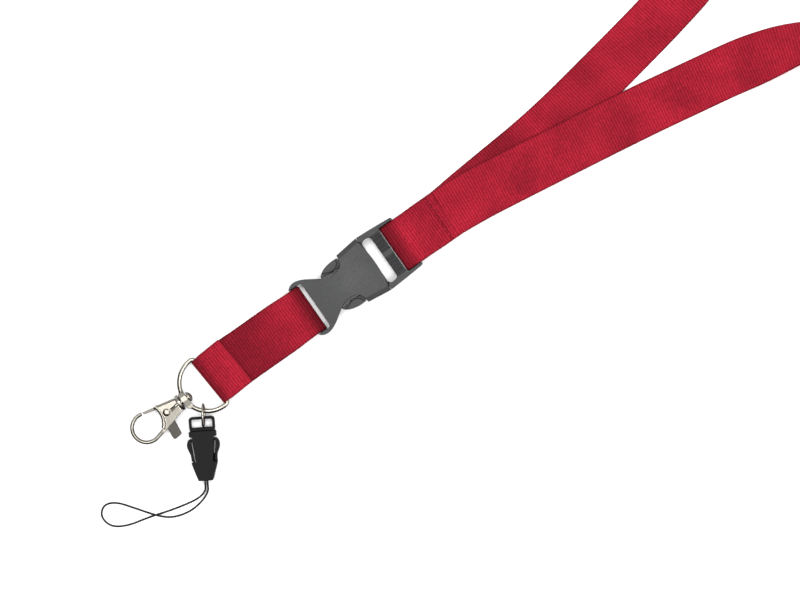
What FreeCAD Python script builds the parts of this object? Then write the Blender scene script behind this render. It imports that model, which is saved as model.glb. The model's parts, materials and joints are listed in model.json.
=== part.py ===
import FreeCAD, Part
import math
import os

# Lanyard: a wide woven neck strap with a side-release buckle, a short strap, a D-ring with
# a swivel hook, and a small release buckle on a jump ring that carries a thin cord loop.
# Row frame, millimetres: +X runs from the hook towards the neck strap, +Z is up, and the
# origin is the centre of the closed buckle's flat underside, which rests on z = 0.

V = FreeCAD.Vector

# Driving dimensions: webbing and release buckle
STRAP_WIDTH = 24.7
STRAP_THICK = 1.1
FLOOR_GAP = 0.1
BUCKLE_HIGH = 8.0
MID_HIGH = BUCKLE_HIGH / 2
PLATE = 1.5
BAR_RADIUS = 1.5
BAR_GAP = 0.1
FEMALE_BAR_X = -27.8
MALE_BAR_X = 24.75
SLOT_HALF = 12.75
RAIL_INNER = 12.6
MOUTH_X = 10.5
MOUTH_BULGE = 1.25
SLEEVE_REAR_X = -1.85
ARM_PIVOT = (7.4, 9.9)

# Driving dimensions: D-ring, hook, jump ring
RING_AT = (-86.4, -0.9)
RING_TILT = 4.2
RING_HIGH = 4.1
RING_WIRE = 1.1
RING_RADIUS = 13.75
RING_CORNER = 1.65
POST_Y = -1.3
POST_RADIUS = 1.2
RIVET_AT = (-112.3, -1.4)
LOOP_AT = (-124.7, -1.95)
LOOP_RADIUS = 7.1
JUMP_AT = (-98.65, -12.7)
JUMP_RADIUS = 5.35
JUMP_WIRE = 0.55
JUMP_ANGLE = -34.1

# Driving dimensions: small buckle and its cord
MINI_AT = (-102.015, -15.94)
MINI_ANGLE = -30.7
MINI_HIGH = 5.4
MINI_MID = MINI_HIGH / 2
MINI_PLATE = 1.1
MINI_ARM_PIVOT = (4.3, -4.3)
CORD_RADIUS = 0.5
CORD_LOW = 0.55
CORD_SPREAD = 0.55

SEAM_X = 49.0
SEAM_END_X = 53.0
TAB_SEAM_X = -71.1
LAYER = STRAP_THICK + FLOOR_GAP
LAYER_Z = [FLOOR_GAP + STRAP_THICK / 2 + LAYER * i for i in range(3)]
FOLD_MID = BAR_RADIUS + BAR_GAP + STRAP_THICK / 2

# The neck strap's centre line, from its lower end in the seam round to its upper end.
# Its height is the strap's middle: low where it lies flat, half its width where it stands.
EDGE_Z = STRAP_WIDTH / 2 + FLOOR_GAP
NECK_ROUTE = [
    (SEAM_END_X, 0, LAYER_Z[1]),
    (80, 2.3, 0.95),
    (116, 5.0, 0.65),
    (158, 12.3, 0.65),
    (196, 19.3, 0.65),
    (236, 29.0, 9.5),
    (280, 48, EDGE_Z),
    (322, 72, EDGE_Z),
    (370, 82, EDGE_Z),
    (414, 64, EDGE_Z),
    (440, 24, EDGE_Z),
    (441, -25, EDGE_Z),
    (414, -66, EDGE_Z),
    (368, -82, EDGE_Z),
    (321, -70, EDGE_Z),
    (283, -49, EDGE_Z),
    (246, -31.5, 9.5),
    (212, -22.9, 0.65),
    (186, -18.4, 0.65),
    (160, -13.9, 1.85),
    (124, -8.6, 1.95),
    (86, -3.2, 2.2),
    (67, -0.6, 2.9),
    (SEAM_END_X, 0, LAYER_Z[2]),
]

# The thin cord's centre line, from one end inside the small buckle's tail to the other.
CORD_INSIDE_Y = -24.6
CORD_EXIT_Y = -29.2


def mini_point(x, y, z):
    """A point of the small buckle's own frame, in the row frame."""
    turn = math.radians(MINI_ANGLE)
    along, across = math.cos(turn), math.sin(turn)
    return (MINI_AT[0] + x * along - y * across, MINI_AT[1] + x * across + y * along, z)


CORD_ROUTE = [
    mini_point(-CORD_SPREAD, CORD_INSIDE_Y, MINI_MID),
    mini_point(-CORD_SPREAD, CORD_EXIT_Y, 2.6),
    (-119.2, -43.3, 1.3),
    (-123.9, -44.4, 0.6),
    (-130.2, -43.4, CORD_LOW),
    (-138.5, -41.4, CORD_LOW),
    (-149.3, -38.0, CORD_LOW),
    (-159.7, -35.7, CORD_LOW),
    (-166.9, -31.4, CORD_LOW),
    (-168.3, -24.4, CORD_LOW),
    (-163.7, -20.4, CORD_LOW),
    (-158.0, -22.9, CORD_LOW),
    (-153.0, -29.4, 0.65),
    (-148.9, -34.9, 1.75),
    (-143.6, -41.7, 1.75),
    (-138.4, -45.5, 0.65),
    (-130.3, -47.4, CORD_LOW),
    (-122.6, -46.3, 0.7),
    (-117.9, -44.0, 1.5),
    mini_point(CORD_SPREAD, CORD_EXIT_Y, 2.6),
    mini_point(CORD_SPREAD, CORD_INSIDE_Y, MINI_MID),
]

nodes = {}


def box(x0, x1, y0, y1, z0, z1):
    return Part.makeBox(x1 - x0, y1 - y0, z1 - z0, V(x0, y0, z0))


def rod(start, end, radius):
    start, end = V(*start), V(*end)
    return Part.makeCylinder(radius, (end - start).Length, start, end - start)


def fused(shapes):
    """One clean solid from shapes that meet."""
    return shapes[0].fuse(shapes[1:]).removeSplitter()


def edges_along(start, steps):
    """Edges from start: a pair is a line's end, a triple starting with a word is a curve."""
    edges = []
    at = V(*start, 0)
    for step in steps:
        if step[0] == "arc":
            edge = Part.Arc(at, V(*step[1], 0), V(*step[2], 0)).toShape()
            at = V(*step[2], 0)
        elif step[0] == "curve":
            curve = Part.BSplineCurve()
            curve.interpolate([at] + [V(*p, 0) for p in step[1]])
            edge = curve.toShape()
            at = V(*step[1][-1], 0)
        else:
            edge = Part.LineSegment(at, V(*step, 0)).toShape()
            at = V(*step, 0)
        edges.append(edge)
    return edges


def plate(edges, z0, z1):
    """A flat plate between two heights, from the closed outline that the edges make."""
    wire = Part.Wire(Part.__sortEdges__(edges))
    face = Part.Face(wire)
    face.translate(V(0, 0, z0))
    return face.extrude(V(0, 0, z1 - z0))


def mirrored_plate(start, steps, z0, z1, across_x=False):
    """A plate whose outline is given on one side of the X axis (or of the Y axis)."""
    half = edges_along(start, steps)
    normal = V(1, 0, 0) if across_x else V(0, 1, 0)
    other = [e.mirror(V(0, 0, 0), normal) for e in half]
    return plate(half + other, z0, z1)


def closed_plate(start, steps, z0, z1):
    return plate(edges_along(start, steps + [start]), z0, z1)


def mirror_y(shape):
    return shape.mirror(V(0, 0, 0), V(0, 1, 0))


def mirror_x(shape):
    return shape.mirror(V(0, 0, 0), V(1, 0, 0))


def rounded_box(x0, x1, y0, y1, z0, z1, radius):
    """A box with its four upright edges rounded."""
    solid = box(x0, x1, y0, y1, z0, z1)
    upright = [e for e in solid.Edges if abs(e.tangentAt(e.FirstParameter).z) > 0.9]
    return solid.makeFillet(radius, upright)


def in_ring_frame(shape):
    """Places a shape made about the D-ring's straight bar, whose loop lies towards +X there."""
    place = FreeCAD.Placement(
        V(*RING_AT, RING_HIGH), FreeCAD.Rotation(V(0, 0, 1), 180 + RING_TILT)
    )
    shape.Placement = place.multiply(shape.Placement)
    return shape


def in_mini_frame(shape):
    place = FreeCAD.Placement(V(*MINI_AT, 0), FreeCAD.Rotation(V(0, 0, 1), MINI_ANGLE))
    shape.Placement = place.multiply(shape.Placement)
    return shape


def slab(start, end, half_width, thick=STRAP_THICK, extra=0.0):
    """A straight stretch of webbing between two (x, z) points, across Y."""
    run = V(end[0] - start[0], 0, end[1] - start[1])
    length = run.Length + 2 * extra
    solid = Part.makeBox(length, 2 * half_width, thick, V(-extra, -half_width, -thick / 2))
    tilt = math.degrees(math.atan2(-run.z, run.x))
    solid.Placement = FreeCAD.Placement(
        V(start[0], 0, start[1]), FreeCAD.Rotation(V(0, 1, 0), tilt)
    )
    return solid


def webbing_run(points, half_width):
    """Webbing through (x, z) points, with its joints filled."""
    runs = [slab(a, b, half_width) for a, b in zip(points, points[1:])]
    joints = [
        rod((x, -half_width, z), (x, half_width, z), STRAP_THICK / 2) for x, z in points[1:-1]
    ]
    return runs + joints


def fold(x, z, inner, side, half_width):
    """The half turn of webbing round a bar across Y; side is -1 for a fold towards -X."""
    outer = inner + STRAP_THICK
    ring = rod((x, -half_width, z), (x, half_width, z), outer)
    ring = ring.cut(rod((x, -half_width - 1, z), (x, half_width + 1, z), inner))
    keep = box(-outer - 1, 0, -half_width - 1, half_width + 1, -outer - 1, outer + 1)
    if side > 0:
        keep = mirror_x(keep)
    keep.translate(V(x, 0, z))
    return ring.common(keep)


def rounded_route(points):
    """The tube path through hand-set points: straight runs joined by tangent arcs."""
    points = [V(*p) for p in points]
    runs = [(b - a).Length for a, b in zip(points, points[1:])]
    corners = []
    for i in range(1, len(points) - 1):
        into = (points[i] - points[i - 1]).normalize()
        away = (points[i + 1] - points[i]).normalize()
        turn = math.acos(max(-1.0, min(1.0, into.dot(away))))
        cut = 0.45 * min(runs[i - 1], runs[i])
        start = points[i] - into * cut
        end = points[i] + away * cut
        radius = cut / math.tan(turn / 2)
        bisector = (away - into).normalize()
        middle = points[i] + bisector * (radius / math.cos(turn / 2) - radius)
        corners.append((start, middle, end, radius, turn))
    return points, corners


def tube(points, radius):
    """A cord's solid along its route, and a printed check of its bends and volume."""
    points, corners = rounded_route(points)
    edges = []
    at = points[0]
    for start, middle, end, _, _ in corners:
        edges.append(Part.LineSegment(at, start).toShape())
        edges.append(Part.Arc(start, middle, end).toShape())
        at = end
    edges.append(Part.LineSegment(at, points[-1]).toShape())
    path = Part.Wire(edges)
    section = Part.Wire(Part.makeCircle(radius, points[0], points[1] - points[0]))
    solid = path.makePipeShell([section], True, True)
    expected = math.pi * radius**2 * path.Length
    print("tube length", round(path.Length, 1), "volume ratio", round(solid.Volume / expected, 3))
    print("tube radii", [round(c[3], 1) for c in corners])
    return solid


def strap_stations(points):
    """Places along the neck strap's path: (centre, direction) pairs, close on the bends."""
    points, corners = rounded_route(points)
    stations = [(points[0], V(1, 0, 0))]
    for i, (start, middle, end, _, turn) in enumerate(corners):
        into = (points[i + 1] - points[i]).normalize()
        away = (points[i + 2] - points[i + 1]).normalize()
        arc = Part.Arc(start, middle, end)
        steps = max(1, math.ceil(math.degrees(turn) / 10))
        for k in range(steps + 1):
            share = k / steps
            at = arc.value(arc.FirstParameter + share * (arc.LastParameter - arc.FirstParameter))
            stations.append((at, (into * (1 - share) + away * share).normalize()))
    stations.append((points[-1], V(-1, 0, 0)))
    length = sum((b[0] - a[0]).Length for a, b in zip(stations, stations[1:]))
    print("strap length", round(length), "radii", [round(c[3]) for c in corners])
    return stations


def strap_section(centre, direction, standing):
    """The webbing's cross-section there, rolled up on edge as far as its height says."""
    roll = 0.0
    if standing:
        roll = math.asin(max(0.0, min(1.0, (centre.z - LAYER_Z[0]) / (EDGE_Z - LAYER_Z[0]))))
        rests = math.sin(roll) * STRAP_WIDTH / 2 + math.cos(roll) * STRAP_THICK / 2 + FLOOR_GAP
        centre = V(centre.x, centre.y, rests)
    level = V(0, 0, 1).cross(V(direction.x, direction.y, 0)).normalize()
    across = level * math.cos(roll) + V(0, 0, math.sin(roll))
    through = level * -math.sin(roll) + V(0, 0, math.cos(roll))
    a = across * (STRAP_WIDTH / 2)
    b = through * (STRAP_THICK / 2)
    corners = [centre - a - b, centre + a - b, centre + a + b, centre - a + b]
    return Part.makePolygon(corners + corners[:1])


def strap_solid(stations, standing):
    sections = [strap_section(at, along, standing) for at, along in stations]
    return Part.makeLoft(sections, True, True)


def female_half():
    """The sleeve half of the release buckle, with its strap bar between two ears."""
    rear = (-30.4, 12.95)
    steps = [
        ("arc", (MOUTH_X + MOUTH_BULGE * 0.75, 6.2), (MOUTH_X, 12.5)),
        (MOUTH_X, 15.15),
        (SLEEVE_REAR_X, 13.65),
        ("curve", [(-2.3, 10.6), (-3.7, 8.2), (-6.6, 7.05), (-11.3, 7.35), (-15.1, 9.2)]),
        ("curve", [(-18, 11.1), (-21, 13.0), (-24.2, 14.4), (-27.2, 14.75), (-29.6, 13.75), rear]),
        (-30.4, 0),
    ]
    body = mirrored_plate((MOUTH_X + MOUTH_BULGE, 0), steps, 0, BUCKLE_HIGH)
    cavity_steps = [
        (14, 13.05),
        (5.2, 13.05),
        (4.2, 11.85),
        (SLEEVE_REAR_X, 11.85),
        (SLEEVE_REAR_X, 17),
        (-14.6, 17),
        (-14.6, 7.6),
        (-17.0, 7.0),
        (-17.0, 0),
    ]
    cavity = mirrored_plate((14, 0), cavity_steps, PLATE, BUCKLE_HIGH - PLATE)
    strap_gap = rounded_box(-34, -23.5, -SLOT_HALF, SLOT_HALF, -1, BUCKLE_HIGH + 1, 1.2)
    body = body.cut([cavity, strap_gap] + sleeve_bevels())
    bar_end = SLOT_HALF + 0.6
    bar = rod((FEMALE_BAR_X, -bar_end, MID_HIGH), (FEMALE_BAR_X, bar_end, MID_HIGH), BAR_RADIUS)
    return fused([body, bar])


def sleeve_bevels():
    """Wedges that slope the sleeve's long side edges, above and below."""
    wide, deep = 2.4, 1.7
    slope = (15.15 - 13.65) / (MOUTH_X - SLEEVE_REAR_X)
    length = 16.0
    x = SLEEVE_REAR_X - 2.0
    y = 13.65 - 2.0 * slope
    wedges = []
    for z, way in ((BUCKLE_HIGH, -1), (0, 1)):
        beyond = z - way * 0.5
        corners = [
            V(x, y - wide, z),
            V(x, y - wide, beyond),
            V(x, y + 0.6, beyond),
            V(x, y + 0.6, z + way * deep),
            V(x, y, z + way * deep),
        ]
        face = Part.Face(Part.makePolygon(corners + corners[:1]))
        wedge = face.extrude(V(length, length * slope, 0))
        wedges += [wedge, mirror_y(wedge)]
    return wedges


def male_half():
    """The frame half: side rails, ribbed bar, end bar, front bar and centre tongue."""
    rail_steps = [
        (10.75, 15.1),
        ("curve", [(20, 14.55), (29.2, 13.85)]),
        ("arc", (30.1, 13.5), (30.3, RAIL_INNER)),
        (30.3, 0),
    ]
    frame = mirrored_plate((10.75, 0), rail_steps, 0, BUCKLE_HIGH)
    front_slot = rounded_box(11.5, 16.75, -12.2, 12.2, -1, BUCKLE_HIGH + 1, 1.9)
    rear_gap = box(21.8, 34, -RAIL_INNER, RAIL_INNER, -1, BUCKLE_HIGH + 1)
    mouth_room = box(9, 11.5, -12.3, 12.3, BUCKLE_HIGH - PLATE - 0.15, BUCKLE_HIGH + 1)
    mouth_floor = box(9, 11.5, -12.3, 12.3, -1, PLATE + 0.15)
    ledge = box(16.7, 21.9, -11.6, 11.6, 6.5, BUCKLE_HIGH + 1)
    under = box(16.7, 21.9, -11.6, 11.6, -1, 1.4)
    frame = frame.cut([front_slot, rear_gap, mouth_room, mouth_floor, ledge, under])
    front_bar = box(6.0, 11.5, -12.9, 12.9, PLATE + 0.1, BUCKLE_HIGH - PLATE - 0.1)
    tongue = box(-11.5, 6.5, -3.2, 3.2, 2.2, BUCKLE_HIGH - 2.2)
    end = RAIL_INNER + 0.5
    bar = rod((MALE_BAR_X, -end, MID_HIGH), (MALE_BAR_X, end, MID_HIGH), BAR_RADIUS)
    half = fused([frame, front_bar, tongue, bar] + grip_ribs())
    return half.cut([arm_socket(1), arm_socket(-1)])


def grip_ribs():
    """Ribs along X on the wide bar, in two groups beside a smooth middle."""
    pitch, wide = 1.1, 0.55
    ribs = []
    for i in range(9):
        for y in (2.3 + pitch * i, -1.4 - pitch * i):
            ribs.append(box(16.9, 21.7, y - wide / 2, y + wide / 2, 6.3, 7.2))
    return ribs


def arm_socket(side):
    """The opening in the front bar that an arm's root turns in."""
    x, y = ARM_PIVOT[0], side * ARM_PIVOT[1]
    bore = rod((x, y, 0), (x, y, BUCKLE_HIGH), 1.4)
    throat = box(5.0, x - 0.5, y - 1.3, y + 1.3, 0, BUCKLE_HIGH)
    return bore.fuse(throat)


def release_arm():
    """The springy arm on the +Y side, with its press pad standing in the sleeve's notch."""
    x, y = ARM_PIVOT
    knuckle = rod((x, y, 2.0), (x, y, BUCKLE_HIGH - 2.0), 1.35)
    beam_steps = [
        (4.0, y - 0.9),
        (-2.3, 9.4),
        (-2.3, 11.3),
        (4.0, y + 0.9),
        (x, y + 0.9),
    ]
    beam = closed_plate((x, y - 0.9), beam_steps, 2.0, BUCKLE_HIGH - 2.0)
    outer = ("curve", [(-6.4, 12.6), (-8.4, 12.3), (-11.3, 11.4), (-14.1, 9.4)])
    inner = ("curve", [(-11.0, 8.6), (-7.5, 8.2), (-2.3, 9.4)])
    pad = closed_plate(
        (-2.3, 12.4), [outer, (-14.1, 8.3), inner], PLATE + 0.2, BUCKLE_HIGH - PLATE - 0.2
    )
    grip_outer = ("curve", [(-6.4, 12.6), (-8.4, 12.3), (-11.3, 11.4), (-12.7, 10.5)])
    grip_inner = ("curve", [(-9.5, 9.15), (-6.3, 8.85), (-4.2, 10.2), (-3.6, 12.5)])
    grip = plate(edges_along((-3.6, 12.5), [grip_outer, grip_inner]), 0.35, BUCKLE_HIGH - 0.35)
    return fused([knuckle, beam, pad, grip])


def neck_fold():
    """The neck strap's sewn end, wrapped round the frame half's end bar."""
    half = STRAP_WIDTH / 2
    top_z = MID_HIGH + FOLD_MID
    low_z = MID_HIGH - FOLD_MID
    turn = fold(MALE_BAR_X, MID_HIGH, BAR_RADIUS + BAR_GAP, -1, half)
    upper = [(MALE_BAR_X, top_z), (33, 5.2), (45.5, LAYER_Z[2]), (SEAM_END_X, LAYER_Z[2])]
    lower = [(MALE_BAR_X, low_z), (33, 1.2), (45.5, LAYER_Z[0]), (SEAM_END_X, LAYER_Z[0])]
    middle = slab((45.8, LAYER_Z[1]), (SEAM_END_X, LAYER_Z[1]), half)
    sewn = box(47.5, 51.5, -half, half, LAYER_Z[0], LAYER_Z[2])
    runs = webbing_run(upper, half) + webbing_run(lower, half)
    return fused([turn, middle, sewn] + runs)


def short_strap():
    """The short strap: round the sleeve half's bar at one end, round the D-ring at the other."""
    half = STRAP_WIDTH / 2
    top_z = MID_HIGH + FOLD_MID
    low_z = MID_HIGH - FOLD_MID
    turn = fold(FEMALE_BAR_X, MID_HIGH, BAR_RADIUS + BAR_GAP, 1, half)
    upper = [(FEMALE_BAR_X, top_z), (-44, 4.6), (-66, LAYER_Z[1]), (-72, LAYER_Z[1])]
    lower = [(FEMALE_BAR_X, low_z), (-44, 0.9), (-66, LAYER_Z[0]), (-72, LAYER_Z[0])]
    straight = [turn] + webbing_run(upper, half) + webbing_run(lower, half)

    # The rest is made about the D-ring's bar, with +X away from the strap.
    flap_end = RING_AT[0] - TAB_SEAM_X + 0.05
    ring_fold = fold(0, 0, RING_WIRE + BAR_GAP, 1, half)
    ring_mid = RING_WIRE + BAR_GAP + STRAP_THICK / 2
    levels = [z - RING_HIGH for z in LAYER_Z]
    flap = [(0, ring_mid), (-8, levels[2] + 0.2), (flap_end, levels[2])]
    under = [(0, -ring_mid), (-8, levels[0]), (flap_end - 1.5, levels[0])]
    inner = slab((-6.5, levels[1]), (flap_end - 1.5, levels[1]), half)
    sewn = box(flap_end, flap_end + 4, -half, half, levels[0], levels[2])
    tilted = [ring_fold, inner, sewn] + webbing_run(flap, half) + webbing_run(under, half)
    return fused(straight + [in_ring_frame(fused(tilted))])


def stitches(count, length, pitch_y, z):
    """A zigzag row of thread across the strap, lying on its upper face, about x = 0."""
    threads = []
    first = -pitch_y * (count - 1) / 2
    for i in range(count):
        y = first + i * pitch_y
        slope = pitch_y * 0.4 * (1 if i % 2 else -1)
        threads.append(rod((-length / 2, y - slope, z), (length / 2, y + slope, z), 0.17))
    return Part.makeCompound(threads)


def d_ring():
    """The D-shaped ring, with a thick boss in its round side that the swivel post runs in."""
    b = RING_RADIUS
    c = RING_CORNER
    s = c * (1 - math.sqrt(0.5))
    steps = [
        (0, b - c),
        ("arc", (s, b - s), (c, b)),
        ("arc", (c + b, 0), (c, -b)),
        ("arc", (s, -b + s), (0, -b + c)),
    ]
    path = Part.Wire(edges_along((0, -b + c), steps))
    section = Part.Wire(Part.makeCircle(RING_WIRE, V(0, 0, 0), V(0, 1, 0)))
    ring = path.makePipeShell([section], True, True)
    boss = rounded_box(b + c - 1.5, b + c + 1.5, -4.6, 4.6, -2.1, 2.1, 1.2).cut(boss_shoulders())
    shape = in_ring_frame(fused([ring, boss]))
    hole = rod((-110, POST_Y, RING_HIGH), (-95, POST_Y, RING_HIGH), POST_RADIUS + 0.06)
    return shape.cut(hole)


def boss_shoulders():
    """Wedges that slope the boss down to the wire on both sides of its flat middle."""
    half_high = 2.1
    wedges = []
    for flat_y, end_y, drop in ((-0.1, 4.8, 1.0), (-2.2, -4.8, 0.8)):
        corners = [V(13, flat_y, half_high), V(13, end_y, half_high), V(13, end_y, half_high - drop)]
        wedge = Part.Face(Part.makePolygon(corners + corners[:1])).extrude(V(5, 0, 0))
        wedges += [wedge, wedge.mirror(V(0, 0, 0), V(0, 0, 1))]
    return wedges


def swivel_post():
    """The post that joins the hook to the D-ring, with a domed head inside the ring."""
    shank = rod((-107.8, POST_Y, RING_HIGH), (-99.0, POST_Y, RING_HIGH), POST_RADIUS)
    disc = rod((-99.8, POST_Y, RING_HIGH), (-97.0, POST_Y, RING_HIGH), 2.55)
    dome_radius, dome_rise = 2.95, 2.0
    dome = Part.makeSphere(dome_radius, V(-99.8 + dome_rise - dome_radius, POST_Y, RING_HIGH))
    return fused([shank, disc.common(dome)])


def hook_body():
    """The hook: a round claw, a slotted body that holds the lever, and a round flange."""
    x, y = LOOP_AT
    tip = math.radians(76)
    root = math.radians(285)
    start = V(x + LOOP_RADIUS * math.cos(tip), y + LOOP_RADIUS * math.sin(tip), RING_HIGH)
    end = V(x + LOOP_RADIUS * math.cos(root), y + LOOP_RADIUS * math.sin(root), RING_HIGH)
    claw_arc = Part.Arc(start, V(x - LOOP_RADIUS, y, RING_HIGH), end).toShape()
    leave = V(-math.sin(root), math.cos(root), 0)
    claw_path = Part.Wire([claw_arc, Part.LineSegment(end, end + leave * 4.6).toShape()])
    outward = V(math.cos(tip), math.sin(tip), 0)
    oval = Part.Ellipse(start + V(0, 0, 1.6), start + outward * 0.95, start).toShape()
    claw = claw_path.makePipeShell([Part.Wire(oval)], True, True)

    low, high = RING_HIGH - 2.5, RING_HIGH + 2.5
    steps = [
        (-115.5, 4.25),
        ("arc", (-114.8, -0.9), (-117.8, -6.7)),
        (-119.6, -7.55),
        (-119.6, -8.95),
        (-105.7, -5.1),
    ]
    body = closed_plate((-105.7, 2.1), steps, low, high).cut(body_slopes(low, high))
    rims = [mouth_rim(low + 0.55), mouth_rim(high - 0.55)]
    neck = rod((-106.5, POST_Y, RING_HIGH), (-104.5, POST_Y, RING_HIGH), 2.3)
    collar = rod((-105.15, POST_Y, RING_HIGH), (-103.95, POST_Y, RING_HIGH), 4.05)
    slot = box(-117.5, -107.9, -12, 8, RING_HIGH - 1.05, RING_HIGH + 1.05)
    groove = closed_plate((-110.6, -1.2), [(-105.6, -2.0), (-105.6, -0.5)], RING_HIGH, high + 1)
    rivet_hole = rod((*RIVET_AT, 0), (*RIVET_AT, 10), 1.0)
    bore = rod((-112, POST_Y, RING_HIGH), (-100, POST_Y, RING_HIGH), POST_RADIUS)
    return fused([claw, body, neck, collar] + rims).cut([slot, groove, rivet_hole, bore])


def mouth_rim(z):
    """The round rim that carries the claw's inner line on across the body."""
    start, middle, end = V(-115.5, 4.1, z), V(-114.95, -0.9, z), V(-118.0, -6.8, z)
    line = Part.Arc(start, middle, end).toShape()
    section = Part.Wire(Part.makeCircle(0.85, start, line.tangentAt(line.FirstParameter)))
    return Part.Wire([line]).makePipeShell([section], True, True)


def body_slopes(low, high):
    """Wedges that slope the hook's plate to its long side and bevel its short one, on both faces."""
    crease_y, outer_y, drop = -1.5, -10.0, 1.3
    slope = [V(-120, crease_y, high), V(-120, outer_y, high), V(-120, outer_y, high - drop)]
    bevel = [V(-105, 0.75, high), V(-105, 2.2, high), V(-105, 2.2, high - 0.95)]
    wedges = [
        Part.Face(Part.makePolygon(slope + slope[:1])).extrude(V(15, 0, 0)),
        Part.Face(Part.makePolygon(bevel + bevel[:1])).extrude(V(-12, 2.65, 0)),
    ]
    middle = V(0, 0, (low + high) / 2)
    return wedges + [wedge.mirror(middle, V(0, 0, 1)) for wedge in wedges]


def hook_lever():
    """The sprung lever: the gate that closes the claw, its hub, and the thumb tab."""
    steps = [
        (-115.3, 4.0),
        (-113.0, 3.3),
        ("curve", [(-110.6, 1.4), (-109.75, -1.6), (-110.4, -4.4), (-111.4, -6.6)]),
        (-111.9, -9.9),
        (-112.2, -13.1),
        ("arc", (-112.55, -13.85), (-113.3, -14.15)),
        (-115.9, -14.4),
        ("arc", (-116.7, -14.1), (-117.0, -13.3)),
        (-116.4, -7.4),
        ("curve", [(-114.6, -4.6), (-114.0, -1.6), (-114.6, 1.2), (-116.2, 2.55)]),
        (-122.1, 4.0),
    ]
    low, high = RING_HIGH - 0.95, RING_HIGH + 0.95
    lever = closed_plate((-122.2, 5.35), steps, low, high)
    gate_steps = [(-116.4, 4.25), (-116.6, 2.65), (-122.1, 4.0)]
    gate = closed_plate((-122.2, 5.35), gate_steps, RING_HIGH - 1.5, RING_HIGH + 1.5)
    hole = rod((*RIVET_AT, 0), (*RIVET_AT, 10), 1.05)
    return fused([lever, gate]).cut(hole)


def lever_rivet():
    x, y = RIVET_AT
    shank = rod((x, y, RING_HIGH - 2.6), (x, y, RING_HIGH + 2.6), 1.0)
    heads = []
    for way in (-1, 1):
        face = RING_HIGH + way * 2.5
        head = Part.makeCone(1.95, 0.95, 0.55, V(x, y, face), V(0, 0, way))
        heads.append(head)
    return fused([shank] + heads)


def lever_spring():
    """A bent leaf between the lever's tail and the end of its slot."""
    points = [(-109.6, -4.9), (-108.35, -3.9), (-109.3, -2.9), (-108.35, -1.9), (-108.35, -0.4)]
    leaf = []
    for (x0, y0), (x1, y1) in zip(points, points[1:]):
        run = V(x1 - x0, y1 - y0, 0)
        piece = Part.makeBox(run.Length, 0.25, 1.4, V(0, -0.125, -0.7))
        turn = math.degrees(math.atan2(run.y, run.x))
        piece.Placement = FreeCAD.Placement(
            V(x0, y0, RING_HIGH), FreeCAD.Rotation(V(0, 0, 1), turn)
        )
        leaf.append(piece)
    bends = [rod((x, y, RING_HIGH - 0.7), (x, y, RING_HIGH + 0.7), 0.125) for x, y in points]
    return fused(leaf + bends)


def jump_ring():
    """A small split ring standing on edge, linking the D-ring to the small buckle."""
    turn = math.radians(JUMP_ANGLE)
    centre = V(*JUMP_AT, JUMP_RADIUS + JUMP_WIRE + FLOOR_GAP)
    return Part.makeTorus(JUMP_RADIUS, JUMP_WIRE, centre, V(math.cos(turn), math.sin(turn), 0))


def mini_frame_half():
    """The small buckle's upper half: a rectangular loop, a base bar and a plug."""
    loop = rounded_box(-6.3, 6.3, -3.0, 3.85, MINI_MID - 0.9, MINI_MID + 0.9, 1.5)
    window = rounded_box(-5.0, 5.0, -1.35, 2.5, 0, MINI_HIGH, 0.5)
    base = box(-6.0, 6.0, -3.0, -1.35, MINI_MID - 1.8, MINI_MID + 1.8)
    plug = box(-5.3, 5.3, -5.2, -2.9, MINI_MID - 1.5, MINI_MID + 1.5)
    tongue = box(-1.1, 1.1, -13, -5, MINI_MID - 1.2, MINI_MID + 1.2)
    half = fused([loop, base, plug, tongue]).cut(window)
    x, y = MINI_ARM_PIVOT
    for side in (-1, 1):
        bore = rod((side * x, y, 0), (side * x, y, MINI_HIGH), 0.8)
        throat = box(side * x - 0.75, side * x + 0.75, -6, y - 0.3, 0, MINI_HIGH)
        half = half.cut([bore, throat])
    return half


def mini_arm():
    """The small buckle's springy arm on the +X side of its own frame."""
    x, y = MINI_ARM_PIVOT
    low, high = MINI_MID - 1.35, MINI_MID + 1.35
    knuckle = rod((x, y, low), (x, y, high), 0.74)
    steps = [
        (4.75, -6.2),
        (5.2, -6.8),
        ("curve", [(6.9, -7.0), (7.75, -8.4), (7.95, -10.1), (7.4, -12.2), (6.45, -14.5)]),
        (6.15, -17.6),
        (5.1, -17.9),
        (4.95, -19.2),
        (4.45, -19.2),
        (4.95, -17.4),
        (5.9, -9.5),
        ("curve", [(5.85, -8.3), (5.2, -7.6), (3.9, -6.4)]),
        (3.85, y),
    ]
    arm = closed_plate((4.75, y), steps, low, high)
    return fused([knuckle, arm])


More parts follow.
